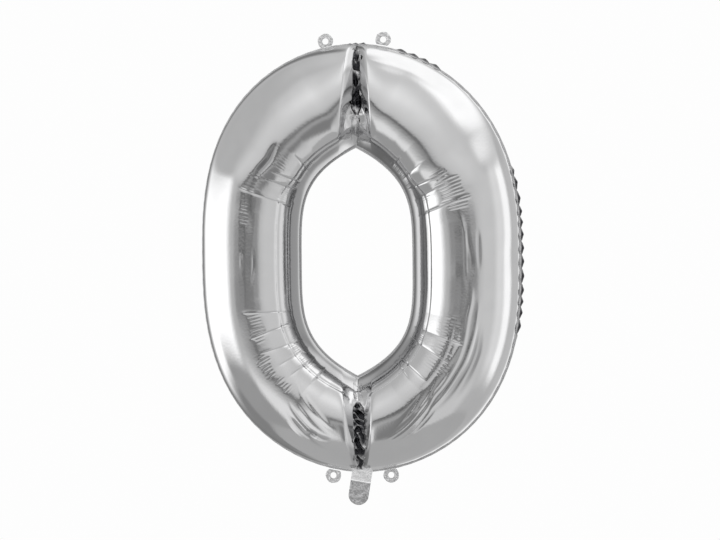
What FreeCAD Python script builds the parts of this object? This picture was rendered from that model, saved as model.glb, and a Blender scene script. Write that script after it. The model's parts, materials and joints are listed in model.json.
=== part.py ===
"""Foil number balloon, the numeral zero, inflated.

Two panels of foil are welded together along a narrow seam round the outline and round the opening in the
middle. Four eyelet tabs for a ribbon stand on the outline. A flat neck at the bottom takes the inflator's
nozzle: its sleeve belongs to the panels, its tail folds, and the two sheets of the self-sealing valve lie
inside it. The foil creases where the numeral turns sharply, above and below the opening.

Frame: X to the right, Y to the back, Z up, millimetres, origin at the centre of the whole object's box.
Foil bends anywhere, so each place that flexes in use is a hinge: the piece's root is a thin roll round the
hinge line, and a small gap parts it from the piece that carries it.
"""

import FreeCAD
import Part
import Sketcher

import math
import os

Vector = FreeCAD.Vector
Placement = FreeCAD.Placement
Rotation = FreeCAD.Rotation

SIZES = {
    # The inflated body, measured over its seams.
    "body_height": 770.0,
    "body_width": 578.0,
    "body_depth": 176.0,
    "opening_height": 409.0,
    "opening_width": 200.0,
    # How square the outline is, how straight the opening's sides are, and how the tube's sections fan out.
    "outline_side_power": 1.9,
    "outline_end_power": 2.65,
    "opening_power": 4.0,
    "fan_power": 0.65,
    # Foil, weld and the two creases.
    "foil": 0.5,
    "seam_width": 5.0,
    "crease_depth": 45.0,
    "crease_width": 15.0,
    # Eyelet tabs: a disc with a hole, cut off straight at its root.
    "tab_radius": 14.0,
    "tab_hole_radius": 5.5,
    "tab_reach": 10.5,
    "tab_spacing": 100.0,
    # Neck and valve.
    "neck_width": 37.0,
    "neck_weld": 3.0,
    "neck_lean": 10.0,
    "sleeve_length": 16.0,
    "sleeve_inside": 11.0,
    "tail_length": 43.0,
    "valve_sheet": 0.3,
    "valve_gap": 0.1,
    "valve_margin": 1.0,
    "valve_length": 90.0,
    # Clearance between a hinged piece's root and its carrier.
    "hinge_gap": 0.3,
    # How far a cut runs past what it cuts.
    "cut_overrun": 1.0,
}

# Sections from the top of the panel to its widest place, and how they crowd towards the crease.
STATIONS = 9
CROWDING = 2.2

FRONT, BACK = -1, 1
TOP, BOTTOM = 1, -1
LEFT, RIGHT = -1, 1

CHANNEL_HALF = "(sizes.valve_gap + sizes.valve_sheet)"
SLEEVE_HALF = f"({CHANNEL_HALF} + sizes.foil)"
TAB_ROOT = "(2 * sqrt(sizes.tab_radius ^ 2 - sizes.tab_reach ^ 2))"
CHANNEL_WIDTH = "(sizes.neck_width - 2 * sizes.neck_weld)"
VALVE_WIDTH = f"({CHANNEL_WIDTH} - 2 * sizes.valve_margin)"


def make_sheet(doc):
    """The spreadsheet of driving dimensions, one alias to a row."""
    sheet = doc.addObject("Spreadsheet::Sheet", "sizes")
    for row, (alias, value) in enumerate(SIZES.items(), start=1):
        sheet.set(f"A{row}", alias)
        sheet.set(f"B{row}", str(value))
        sheet.setAlias(f"B{row}", alias)
    doc.recompute()
    return sheet


# Where things are, before the whole is lifted to put its box's centre at the origin.


def channel_half(sheet):
    """Half the thickness of the gas channel in the neck."""
    return sheet.valve_gap + sheet.valve_sheet


def sleeve_half(sheet):
    """Half the thickness of the flat neck."""
    return channel_half(sheet) + sheet.foil


def channel_width(sheet):
    """The width of the gas channel, between the neck's two side welds."""
    return sheet.neck_width - 2 * sheet.neck_weld


def valve_width(sheet):
    """The width of the valve's sheets, which lie inside the channel."""
    return channel_width(sheet) - 2 * sheet.valve_margin


def outline_point(sheet, turn):
    """A point of the outer edge, a superellipse whose sides are rounder than its ends.

    The turn runs from 0 at the top to pi at the bottom.
    """
    x = sheet.body_width / 2 * math.sin(turn) ** (2 / sheet.outline_side_power)
    rise = abs(math.cos(turn)) ** (2 / sheet.outline_end_power)
    return Vector(x, 0, sheet.body_height / 2 * math.copysign(rise, math.cos(turn)))


def opening_point(sheet, turn):
    """The point of the opening's edge that faces the outline's point at the same turn."""
    rise = abs(math.cos(turn)) ** sheet.fan_power
    x = sheet.opening_width / 2 * (1 - rise**sheet.opening_power)
    z = sheet.opening_height / 2 * math.copysign(rise, math.cos(turn))
    return Vector(x, 0, z)


def tab_hinge(sheet, level, side):
    """A tab's frame: origin on its hinge line, Z away from the body, square to the outline there."""
    half_width, half_height = sheet.body_width / 2, sheet.body_height / 2
    side_power, end_power = sheet.outline_side_power, sheet.outline_end_power
    across = sheet.tab_spacing / 2 / half_width
    height = (1 - across**side_power) ** (1 / end_power)
    steepness = side_power * across ** (side_power - 1) / (end_power * height ** (end_power - 1))
    fall = math.atan(half_height / half_width * steepness)
    away = Vector(side * math.sin(fall), 0, level * math.cos(fall))
    edge = Vector(side * across * half_width, 0, level * height * half_height)
    turn = side * math.degrees(fall)
    upright = Rotation(Vector(0, 1, 0), turn if level == TOP else 180 - turn)
    return Placement(edge + away * (sheet.hinge_gap + sheet.foil), upright)


def neck_frame(sheet):
    """The neck's frame: origin at the lowest point of the outline, Z up along the leaning neck."""
    return Placement(Vector(0, 0, -sheet.body_height / 2), Rotation(Vector(0, 1, 0), sheet.neck_lean))


def tail_hinge(sheet):
    """The tail's frame, on the fold line below the sleeve."""
    drop = sheet.sleeve_length + sheet.hinge_gap + sleeve_half(sheet)
    return neck_frame(sheet) * Placement(Vector(0, 0, -drop), Rotation())


def flap_hinge(sheet, face):
    """A valve flap's frame, on the hinge line above the sleeve's sheet of that face."""
    rise = sheet.sleeve_inside + sheet.hinge_gap + sheet.valve_sheet / 2
    aside = face * (sheet.valve_gap + sheet.valve_sheet / 2)
    return neck_frame(sheet) * Placement(Vector(0, aside, rise), Rotation())


def lift(sheet):
    """The move that puts the centre of the whole object's box at the origin."""
    top = tab_hinge(sheet, TOP, RIGHT).multVec(Vector(0, 0, sheet.tab_reach)).z + sheet.tab_radius
    round_centre = sheet.neck_width / 2 - sheet.tail_length
    bottom = tail_hinge(sheet).multVec(Vector(0, 0, round_centre)).z - sheet.neck_width / 2
    return Placement(Vector(0, 0, -(top + bottom) / 2), Rotation())


# The two panels.


def tube_section(sheet, turn):
    """One closed section of the front panel: weld, domed foil, weld, and the foil's inner side."""
    outer, inner = outline_point(sheet, turn), opening_point(sheet, turn)
    centre, reach = (outer + inner) / 2, (outer - inner).Length / 2
    outward, forward = (outer - inner).normalize(), Vector(0, FRONT, 0)
    foil, tube = sheet.foil, reach - sheet.seam_width
    crease = sheet.crease_depth * math.exp(-centre.x / sheet.crease_width)
    rise = sheet.body_depth / 2 - crease - foil

    def at(along, depth):
        return centre + outward * along + forward * depth

    def line(start, end):
        return Part.LineSegment(at(*start), at(*end)).toShape()

    def dome(half, depth):
        """Half an ellipse from one end of the tube to the other, as a rational B-spline."""
        corner = math.sqrt(0.5)
        top = depth + rise
        poles = [(half, depth), (half, top), (0, top), (-half, top), (-half, depth)]
        curve = Part.BSplineCurve()
        curve.buildFromPolesMultsKnots(
            [at(*pole) for pole in poles], [3, 2, 3], [0, 0.5, 1], False, 2, [1, corner, 1, corner, 1]
        )
        return curve.toShape()

    edges = [
        line((reach, 0), (reach, foil)),
        line((reach, foil), (tube, foil)),
        dome(tube, foil),
        line((-tube, foil), (-reach, foil)),
        line((-reach, foil), (-reach, 0)),
        line((-reach, 0), (foil - tube, 0)),
        dome(tube - foil, 0),
        line((tube - foil, 0), (reach, 0)),
    ]
    return Part.Wire(Part.__sortEdges__(edges))


def station_turns():
    """Turns of the sections from top to bottom, crowded towards the two creases."""
    quarter = [math.pi / 2 * (step / STATIONS) ** CROWDING for step in range(STATIONS + 1)]
    return quarter + [math.pi - turn for turn in reversed(quarter[:-1])]


def neck_box(sheet, width, half_thickness, overrun=0):
    """The front half of a flat box along the sleeve, which overrun lengthens at both ends."""
    length = sheet.sleeve_length + sheet.sleeve_inside + 2 * overrun
    corner = Vector(-width / 2, -half_thickness, -sheet.sleeve_length - overrun)
    box = Part.makeBox(width, half_thickness, length, corner)
    box.Placement = neck_frame(sheet)
    return box


def front_shape(sheet):
    """The front panel: two mirrored half rings and the front half of the neck's sleeve."""
    half_ring = Part.makeLoft([tube_section(sheet, turn) for turn in station_turns()], True)
    ring = half_ring.fuse(half_ring.mirror(Vector(), Vector(1, 0, 0)))
    sleeve = neck_box(sheet, sheet.neck_width, sleeve_half(sheet))
    channel = neck_box(sheet, channel_width(sheet), channel_half(sheet), sheet.cut_overrun)
    return ring.fuse(sleeve).cut(channel)


def make_panels(doc, sheet):
    """Both panels, the back one being the front one mirrored."""
    front = front_shape(sheet)
    shapes = {"front_panel": front, "back_panel": front.mirror(Vector(), Vector(0, 1, 0))}
    for name, shape in shapes.items():
        panel = doc.addObject("Part::Feature", name)
        panel.Label = name
        panel.Shape = shape
        panel.Placement = lift(sheet)


# The small pieces, as parametric bodies, each in the frame of its own hinge or of the neck.


def new_body(doc, name, placement):
    """An empty body in its place."""
    body = doc.addObject("PartDesign::Body", name)
    body.Label = name
    body.Placement = placement
    return body


def upright_sketch(body, name):
    """A sketch on the body's own XZ plane, whose normal points to the front."""
    sketch = body.newObject("Sketcher::SketchObject", name)
    plane = next(item for item in body.Origin.OriginFeatures if item.Role == "XZ_Plane")
    sketch.AttachmentSupport = [(plane, "")]
    sketch.MapMode = "FlatFace"
    return sketch


def constrain(sketch, *rules):
    """Adds constraints that hold no dimension."""
    for rule in rules:
        sketch.addConstraint(Sketcher.Constraint(*rule))


def dimension(sketch, name, expression, *rule):
    """Adds a dimension bound to the spreadsheet."""
    index = sketch.addConstraint(Sketcher.Constraint(*rule))
    sketch.renameConstraint(index, name)
    sketch.setExpression(f"Constraints.{name}", expression)


def draw_rectangle(sketch, guess, width, high, low=None):
    """A rectangle centred on the sketch's Y axis, from low below its X axis (else from it) to high above it.

    width, high and low are expressions, and guess holds the width and the heights of its two ends.
    """
    half, bottom, top = guess[0] / 2, guess[1], guess[2]
    corners = [Vector(-half, bottom), Vector(half, bottom), Vector(half, top), Vector(-half, top)]
    for start, end in zip(corners, corners[1:] + corners[:1]):
        sketch.addGeometry(Part.LineSegment(start, end))
    constrain(
        sketch,
        ("Coincident", 0, 2, 1, 1),
        ("Coincident", 1, 2, 2, 1),
        ("Coincident", 2, 2, 3, 1),
        ("Coincident", 3, 2, 0, 1),
        ("Vertical", 1),
        ("Vertical", 3),
        ("Symmetric", 0, 1, 0, 2, -2),
    )
    dimension(sketch, "width", width, "DistanceX", 0, 1, 0, 2, guess[0])
    dimension(sketch, "high", high, "DistanceY", -1, 1, 1, 2, top)
    if low is None:
        constrain(sketch, ("PointOnObject", 0, 1, -1))
    else:
        dimension(sketch, "low", low, "DistanceY", 0, 1, -1, 1, -bottom)


def add_root_roll(body, radius, width, face=None):
    """The round root along a piece's hinge line; face keeps only its front or its back half."""
    up = Vector(0, 0, -1 if face == BACK else 1)
    along = Vector(1, 0, 0)
    roll = body.newObject("PartDesign::AdditiveCylinder", "root_roll")
    roll.Placement = Placement(Vector(), Rotation(up, along.cross(up), along, "XYZ"))
    roll.Angle = 360 if face is None else 180
    roll.setExpression("Radius", radius)
    roll.setExpression("Height", width)
    roll.setExpression("Placement.Base.x", f"-{width} / 2")


def make_tab(doc, sheet, name, level, side):
    """An eyelet tab, both layers of foil welded into one plate."""
    body = new_body(doc, name, lift(sheet) * tab_hinge(sheet, level, side))
    reach, radius = sheet.tab_reach, sheet.tab_radius
    half_root = math.sqrt(radius**2 - reach**2)
    start = math.atan2(-reach, half_root)
    centre, normal = Vector(0, reach), Vector(0, 0, 1)
    sketch = upright_sketch(body, "tab_outline")
    sketch.addGeometry(Part.LineSegment(Vector(-half_root, 0), Vector(half_root, 0)))
    sketch.addGeometry(Part.ArcOfCircle(Part.Circle(centre, normal, radius), start, math.pi - start))
    sketch.addGeometry(Part.Circle(centre, normal, sheet.tab_hole_radius))
    constrain(
        sketch,
        ("Coincident", 0, 2, 1, 1),
        ("Coincident", 0, 1, 1, 2),
        ("PointOnObject", 0, 1, -1),
        ("PointOnObject", 0, 2, -1),
        ("PointOnObject", 1, 3, -2),
        ("Coincident", 2, 3, 1, 3),
    )
    dimension(sketch, "reach", "sizes.tab_reach", "DistanceY", -1, 1, 1, 3, reach)
    dimension(sketch, "ring", "sizes.tab_radius", "Radius", 1, radius)
    dimension(sketch, "hole", "sizes.tab_hole_radius", "Radius", 2, sheet.tab_hole_radius)
    plate = body.newObject("PartDesign::Pad", "plate")
    plate.Profile = sketch
    plate.SideType = "Symmetric"
    plate.setExpression("Length", "2 * sizes.foil")
    add_root_roll(body, "sizes.foil", TAB_ROOT)


def make_tail_film(doc, sheet, name, face):
    """One film of the folding tail, with its half of the gas channel, which is open at both ends."""
    body = new_body(doc, name, lift(sheet) * tail_hinge(sheet))
    half, length = sheet.neck_width / 2, sheet.tail_length
    centre, normal = Vector(0, half - length), Vector(0, 0, 1)
    outline = upright_sketch(body, "tail_outline")
    outline.addGeometry(Part.LineSegment(Vector(-half, 0), Vector(half, 0)))
    outline.addGeometry(Part.LineSegment(Vector(half, 0), Vector(half, half - length)))
    outline.addGeometry(Part.ArcOfCircle(Part.Circle(centre, normal, half), math.pi, 2 * math.pi))
    outline.addGeometry(Part.LineSegment(Vector(-half, half - length), Vector(-half, 0)))
    constrain(
        outline,
        ("Coincident", 0, 2, 1, 1),
        ("Coincident", 3, 2, 0, 1),
        ("Tangent", 1, 2, 2, 2),
        ("Tangent", 2, 1, 3, 1),
        ("PointOnObject", 0, 1, -1),
        ("Horizontal", 0),
        ("Vertical", 1),
        ("Vertical", 3),
        ("PointOnObject", 2, 3, -2),
    )
    dimension(outline, "end_radius", "sizes.neck_width / 2", "Radius", 2, half)
    drop = "sizes.tail_length - sizes.neck_width / 2"
    dimension(outline, "drop", drop, "DistanceY", 2, 3, -1, 1, length - half)
    film = body.newObject("PartDesign::Pad", "film")
    film.Profile = outline
    film.Reversed = face == BACK
    film.setExpression("Length", SLEEVE_HALF)
    add_root_roll(body, SLEEVE_HALF, "sizes.neck_width", face)
    doc.recompute()
    guess = (channel_width(sheet), -length - sheet.cut_overrun, sleeve_half(sheet) + sheet.cut_overrun)
    high, low = f"{SLEEVE_HALF} + sizes.cut_overrun", "sizes.tail_length + sizes.cut_overrun"
    rectangle = upright_sketch(body, "channel_outline")
    draw_rectangle(rectangle, guess, CHANNEL_WIDTH, high, low)
    channel = body.newObject("PartDesign::Pocket", "channel")
    channel.Profile = rectangle
    channel.Reversed = face == FRONT
    channel.setExpression("Length", CHANNEL_HALF)


def make_valve_root(doc, sheet, name, face):
    """The part of a valve sheet that is welded to the sleeve's inner face."""
    near = sheet.valve_gap if face == BACK else -channel_half(sheet)
    corner = Vector(-valve_width(sheet) / 2, near, sheet.valve_margin - sheet.sleeve_length)
    root = doc.addObject("Part::Box", name)
    root.Label = name
    root.Placement = lift(sheet) * neck_frame(sheet) * Placement(corner, Rotation())
    root.setExpression("Length", VALVE_WIDTH)
    root.setExpression("Width", "sizes.valve_sheet")
    root.setExpression("Height", "sizes.sleeve_length + sizes.sleeve_inside - sizes.valve_margin")


def make_valve_flap(doc, sheet, name, face):
    """The free part of a valve sheet, inside the body: gas parts the two flaps, then presses them shut."""
    body = new_body(doc, name, lift(sheet) * flap_hinge(sheet, face))
    outline = upright_sketch(body, "flap_outline")
    draw_rectangle(outline, (valve_width(sheet), 0, sheet.valve_length), VALVE_WIDTH, "sizes.valve_length")
    film = body.newObject("PartDesign::Pad", "film")
    film.Profile = outline
    film.SideType = "Symmetric"
    film.setExpression("Length", "sizes.valve_sheet")
    add_root_roll(body, "sizes.valve_sheet / 2", VALVE_WIDTH)


def write_parts(doc):
    """Checks every object of the document, then writes one STEP file for each sub-part."""
    doc.recompute()
    for item in doc.Objects:
        if "Invalid" in item.State or "Error" in item.State:
            raise RuntimeError(f"{item.Name} did not build: {item.State}")
    kinds = ("PartDesign::Body", "Part::Feature", "Part::Box")
    sub_parts = [item for item in doc.Objects if item.TypeId in kinds]
    for item in sub_parts:
        if item.Shape.isNull() or not item.Shape.isValid() or not item.Shape.Solids:
            raise RuntimeError(f"{item.Label} has no valid solid")
    os.makedirs("parts", exist_ok=True)
    for item in sub_parts:
        item.Shape.exportStep(f"parts/{item.Label}.step")


def main():
    """Builds the document and writes its sub-parts."""
    doc = FreeCAD.newDocument("foil_number")
    sheet = make_sheet(doc)
    make_panels(doc, sheet)
    for level_name, level in (("top", TOP), ("bottom", BOTTOM)):
        for side_name, side in (("left", LEFT), ("right", RIGHT)):
            make_tab(doc, sheet, f"{level_name}_{side_name}_tab", level, side)
    for face_name, face in (("front", FRONT), ("back", BACK)):
        make_tail_film(doc, sheet, f"neck_tail_{face_name}", face)
        make_valve_root(doc, sheet, f"valve_root_{face_name}", face)
        make_valve_flap(doc, sheet, f"valve_flap_{face_name}", face)
    write_parts(doc)
    return doc


main()
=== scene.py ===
"""Foil number balloon, the numeral zero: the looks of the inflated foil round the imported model.

Everything is in metres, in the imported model's frame: X to the right, Y to the back, Z up.
The foil is worked out as surfaces on grids: one direction runs round the numeral, the other across its tube.
Lengths round the numeral are measured on the tube's middle line from its top crease.
The angle across the tube, theta, is 0 at the outer weld and pi at the opening's weld.
"""

from __future__ import annotations

import json
import logging
import math
from dataclasses import dataclass
from enum import Enum
from typing import ClassVar

import bpy
import numpy as np
from mathutils import Matrix, Vector

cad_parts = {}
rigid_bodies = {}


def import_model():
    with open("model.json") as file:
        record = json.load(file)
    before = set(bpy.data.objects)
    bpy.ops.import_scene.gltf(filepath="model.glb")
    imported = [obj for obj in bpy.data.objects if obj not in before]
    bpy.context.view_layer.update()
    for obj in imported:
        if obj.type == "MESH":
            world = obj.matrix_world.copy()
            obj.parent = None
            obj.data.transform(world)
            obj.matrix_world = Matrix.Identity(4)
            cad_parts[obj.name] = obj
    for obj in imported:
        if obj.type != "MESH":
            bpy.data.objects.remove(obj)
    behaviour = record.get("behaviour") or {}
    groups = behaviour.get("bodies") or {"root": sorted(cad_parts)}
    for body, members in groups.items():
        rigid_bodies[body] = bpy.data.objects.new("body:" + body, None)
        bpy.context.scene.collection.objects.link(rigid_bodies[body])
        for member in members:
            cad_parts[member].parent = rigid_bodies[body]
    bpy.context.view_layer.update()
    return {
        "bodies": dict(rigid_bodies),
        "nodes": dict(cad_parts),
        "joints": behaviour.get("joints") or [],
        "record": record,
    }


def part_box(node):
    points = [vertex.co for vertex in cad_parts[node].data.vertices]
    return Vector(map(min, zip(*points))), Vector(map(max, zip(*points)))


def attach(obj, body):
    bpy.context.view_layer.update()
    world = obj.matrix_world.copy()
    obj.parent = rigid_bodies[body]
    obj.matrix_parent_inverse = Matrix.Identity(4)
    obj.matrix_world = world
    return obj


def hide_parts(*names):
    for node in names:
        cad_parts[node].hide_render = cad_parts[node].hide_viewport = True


LOG = logging.getLogger("foil_number")
Array = np.ndarray
PI = math.pi


class Face(Enum):
    """The two faces of the balloon; the value is the sign of Y."""

    FRONT = -1
    BACK = 1


class Side(Enum):
    """The two halves of the ring; the value is the sign of X."""

    RIGHT = 1
    LEFT = -1


TABS = ("top_left_tab", "top_right_tab", "bottom_left_tab", "bottom_right_tab")
FACE_SEEDS = {Face.FRONT: 11, Face.BACK: 61}
VALVE_SHEETS = ("valve_root_front", "valve_root_back", "valve_flap_front", "valve_flap_back")


# Number helpers: soft steps, noise and folds, all on whole arrays.


def soft_step(value: Array, low: float, high: float) -> Array:
    """Runs smoothly from 0 at low to 1 at high, as 3q^2 - 2q^3 of the clamped share q."""
    share = np.clip((value - low) / (high - low), 0, 1)
    return share * share * (3 - 2 * share)


def band(value: Array, low: float, high: float, edge: float) -> Array:
    """1 between low and high, falling to 0 over edge on either side."""
    return soft_step(value, low - edge, low) * (1 - soft_step(value, high, high + edge))


def arches(value: Array) -> Array:
    """Round arches between sharp valleys at whole numbers: 1 - (2q - 1)^2 for the fraction q."""
    part = value - np.floor(value)
    return 1 - (2 * part - 1) ** 2


def spread(density: Array, probe: Array) -> Array:
    """Spreads places out by a density, through its running sum, inverted.

    Args:
        density: how many places to a unit, at each probe.
        probe: evenly growing positions.

    Returns:
        The places, from the first to the last probe.
    """
    count = np.concatenate([[0], np.cumsum((density[1:] + density[:-1]) / 2 * np.diff(probe))])
    steps = int(round(count[-1]))
    return np.interp(np.linspace(0, count[-1], steps + 1), count, probe)


def between(theta: Array, rise: tuple[float, float], fall: tuple[float, float]) -> Array:
    """Rises from 0 to 1 over one span of theta and falls over the other, both given in shares of pi."""
    return soft_step(theta, rise[0] * PI, rise[1] * PI) * (1 - soft_step(theta, fall[0] * PI, fall[1] * PI))


@dataclass(frozen=True)
class Crumple:
    """Repeatable noise and creases from whole-number hashes of a lattice; the seed chooses the pattern."""

    seed: int
    PRIMES: ClassVar[tuple[int, ...]] = (374761393, 668265263, 2147483647)
    STIR: ClassVar[int] = 1274126177
    START: ClassVar[int] = 2654435761
    WORD: ClassVar[int] = 0xFFFFFFFF

    def _hash(self, cells: Array) -> Array:
        """Hashes lattice cells.

        Args:
            cells: whole numbers, shape (..., n).

        Returns:
            Values from -1 to 1, one per cell.
        """
        mix = np.full(cells.shape[:-1], (self.seed * self.START) & self.WORD, dtype=np.uint64)
        for axis in range(cells.shape[-1]):
            cell = cells[..., axis].astype(np.int64).astype(np.uint64)
            mix = (mix ^ (cell * np.uint64(self.PRIMES[axis]))) & np.uint64(self.WORD)
            mix = (mix * np.uint64(self.STIR)) & np.uint64(self.WORD)
            mix ^= mix >> np.uint64(15)
        return mix.astype(np.float64) / 2**31 - 1

    def noise(self, points: Array, cell: float) -> Array:
        """Smooth value noise from -1 to 1: lattice values blended by fifth-power fades.

        Args:
            points: positions, shape (..., n), n of 1 to 3.
            cell: the lattice's spacing.

        Returns:
            One value per point.
        """
        scaled = points / cell
        base = np.floor(scaled)
        part = scaled - base
        fade = part**3 * (part * (part * 6 - 15) + 10)
        total = np.zeros(points.shape[:-1])
        dims = points.shape[-1]
        for corner in range(2**dims):
            bits = np.array([(corner >> axis) & 1 for axis in range(dims)])
            weight = np.prod(np.where(bits, fade, 1 - fade), axis=-1)
            total += weight * self._hash(base + bits)
        return total

    def along(self, value: Array, cell: float) -> Array:
        """Smooth noise from -1 to 1 along one coordinate."""
        return self.noise(np.asarray(value, dtype=float)[..., None], cell)

    def facets(self, points: Array, size: float, waves: int = 5) -> Array:
        """Flat facets between sharp folds: triangle waves in random directions, bent by noise and added.

        Args:
            points: positions, shape (..., n).
            size: the mean length of a wave.
            waves: how many waves are added.

        Returns:
            Heights from about -1 to 1.
        """
        dims = points.shape[-1]
        rng = np.random.default_rng(self.seed)
        total = np.zeros(points.shape[:-1])
        for wave in range(waves):
            direction = rng.normal(size=dims)
            direction /= np.linalg.norm(direction)
            length = size * rng.uniform(0.7, 1.6)
            bend = 0.6 * self.noise(points + wave * 7.3 * size, size * 2)
            phase = points @ direction / length + bend + rng.uniform()
            total += 4 * np.abs(phase - np.floor(phase) - 0.5) - 1
        return total / math.sqrt(waves)


# Grids and meshes.


def grid_normals(points: Array) -> Array:
    """Unit normals of an open grid, the cross product of its two directions' differences."""
    normal = np.cross(np.gradient(points, axis=0), np.gradient(points, axis=1))
    return normal / np.maximum(np.linalg.norm(normal, axis=-1, keepdims=True), 1e-12)


def grid_object(
    name: str,
    points: Array,
    closed: tuple[bool, bool] = (False, False),
    flip: bool = False,
    shade: Array | None = None,
) -> bpy.types.Object:
    """A mesh object from a grid of points.

    Args:
        name: the piece's name.
        points: shape (columns, rows, 3).
        closed: for each direction, whether its last line joins its first.
        flip: turns the faces over.
        shade: one value per point for the attribute "shade", the painted shade, from 0 to 1.

    Returns:
        The object, smooth shaded, at the origin.
    """
    columns, rows = points.shape[:2]
    start = np.arange(columns if closed[0] else columns - 1)
    row = np.arange(rows if closed[1] else rows - 1)
    after, above = (start + 1) % columns, (row + 1) % rows
    a = start[:, None] * rows + row[None, :]
    b = after[:, None] * rows + row[None, :]
    c = after[:, None] * rows + above[None, :]
    d = start[:, None] * rows + above[None, :]
    corners = (a, b, c, d) if flip else (b, a, d, c)
    quads = np.stack(corners, axis=-1).reshape(-1, 4)
    mesh = bpy.data.meshes.new(name)
    mesh.vertices.add(columns * rows)
    mesh.vertices.foreach_set("co", points.astype(np.float32).reshape(-1))
    mesh.loops.add(quads.size)
    mesh.loops.foreach_set("vertex_index", quads.astype(np.int32).reshape(-1))
    mesh.polygons.add(len(quads))
    mesh.polygons.foreach_set("loop_start", np.arange(0, quads.size, 4, dtype=np.int32))
    mesh.polygons.foreach_set("use_smooth", np.ones(len(quads), dtype=bool))
    if shade is not None:
        values = mesh.attributes.new("shade", "FLOAT", "POINT").data
        values.foreach_set("value", shade.astype(np.float32).reshape(-1))
    mesh.update(calc_edges=True)
    mesh.validate()
    piece = bpy.data.objects.new(name, mesh)
    bpy.context.scene.collection.objects.link(piece)
    return piece


def flat_section(points: int, thickness: float) -> tuple[Array, Array]:
    """A flat strip's section, out along one flank and back along the other.

    Args:
        points: how many points each flank has.
        thickness: the strip's thickness.

    Returns:
        The share of the width, 0 to 1, and the flank's height, shape (1, 2 points) each.
    """
    share = np.concatenate([np.linspace(0, 1, points), np.linspace(1, 0, points)])[None, :]
    return share, np.repeat([1.0, -1.0], points)[None, :] * thickness / 2


def place(
    piece: bpy.types.Object,
    body: str,
    nodes: tuple[str, ...],
    finish: bpy.types.Material,
) -> None:
    """Gives a piece its place in the model.

    Args:
        piece: the finished object.
        body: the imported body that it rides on.
        nodes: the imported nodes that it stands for.
        finish: its material.
    """
    piece.data.materials.append(finish)
    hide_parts(*nodes)
    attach(piece, body)
    LOG.info("%s: %d faces on %s", piece.name, len(piece.data.polygons), body)


# The form of the inflated numeral.


@dataclass(frozen=True)
class Form:
    """The inflated numeral's main sizes; curves run by the turn, 0 at the top crease to pi at the bottom."""

    half_width: float
    half_height: float
    half_depth: float
    centre_z: float
    opening_half_width: float = 0.100
    opening_half_height: float = 0.2045
    side_power: float = 1.9
    end_power: float = 2.65
    opening_power: float = 4.0
    fan_power: float = 0.65
    weld: float = 0.003
    # How the gas has pulled it out of true: the opening's shift, the swelling to the right and the lean.
    opening_right: float = -0.003
    opening_up: float = -0.007
    swell: float = 0.004
    lean_up: float = 0.031
    lean_right: float = 0.010

    @classmethod
    def from_frame(cls, frame: dict) -> "Form":
        """Reads the body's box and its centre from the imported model.

        Args:
            frame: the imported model, with its panels and the tabs' hinges.

        Returns:
            The form.
        """
        low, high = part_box("front_panel")
        hinges = [joint["pos_m"][2] for joint in frame["joints"] if joint["name"].endswith("tab_flex")]
        centre_z = (max(hinges) + min(hinges)) / 2
        return cls((high[0] - low[0]) / 2, high[2] - centre_z, high[1] - low[1], centre_z)

    def outline(self, turn: Array) -> Array:
        """The outer edge, a superellipse: x = a sin^(2/p), z = b |cos|^(2/q) with the sign of cos.

        Args:
            turn: the curve's parameter.

        Returns:
            Places (x, z), shape (..., 2).
        """
        x = self.half_width * np.abs(np.sin(turn)) ** (2 / self.side_power)
        z = self.half_height * np.sign(np.cos(turn)) * np.abs(np.cos(turn)) ** (2 / self.end_power)
        return np.stack([x, z], axis=-1)

    def opening(self, turn: Array) -> Array:
        """The opening's edge: z = b r and x = a (1 - r^4), where r is a power of |cos|.

        Args:
            turn: the curve's parameter.

        Returns:
            Places (x, z), shape (..., 2).
        """
        rise = np.abs(np.cos(turn)) ** self.fan_power
        x = self.opening_half_width * (1 - rise**self.opening_power)
        z = self.opening_half_height * rise * np.sign(np.cos(turn))
        return np.stack([x, z], axis=-1)

    def settle(self, x: Array, z: Array, inner: Array) -> tuple[Array, Array]:
        """Moves flat places out of true: the opening shifts, the sides swell right and the whole shears.

        Args:
            x: across, from the middle.
            z: up, from the middle.
            inner: 0 at the outer weld to 1 at the opening's.

        Returns:
            The moved x and z, z in the model's frame.
        """
        x = x + self.opening_right * inner + self.swell * (x / self.half_width) ** 2
        z = z + self.opening_up * inner
        return x + self.lean_right * z, z - self.lean_up * x + self.centre_z


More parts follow.
